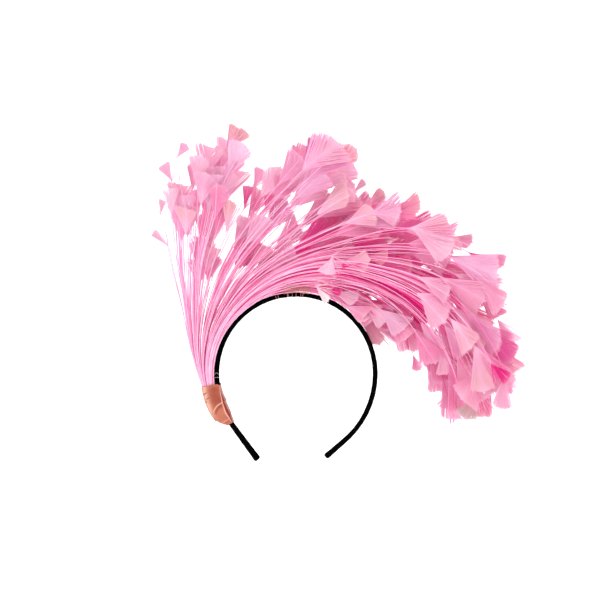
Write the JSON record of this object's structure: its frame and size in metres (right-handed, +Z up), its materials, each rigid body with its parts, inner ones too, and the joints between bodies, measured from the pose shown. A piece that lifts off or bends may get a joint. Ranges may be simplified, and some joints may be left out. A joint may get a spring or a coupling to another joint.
{
  "type": "feather tiara",
  "caption": "Satin covered headband with a plume of stripped pink quills, each ending in a trimmed arrowhead of vane, tied to one side by a ribbon wrap and swept over the crown.",
  "frame": {"origin": "on the inner face of the band at the middle of its crown, where it sits on the top of the head", "axes": "+Z up from the head, +X across the head away from the side where the plume is tied, +Y to the back of the head"},
  "size_m": [0.3168, 0.1461, 0.2998],
  "materials": {
    "black_satin": "satin",
    "copper_satin": "satin",
    "pink_quill": "matte"
  },
  "bodies": {
    "root": {"headband": "black_satin", "ribbon_wrap": "copper_satin", "bunch_sweeping": "pink_quill", "bunch_arching": "pink_quill", "bunch_rising": "pink_quill", "bunch_upright": "pink_quill"}
  },
  "joints": []
}
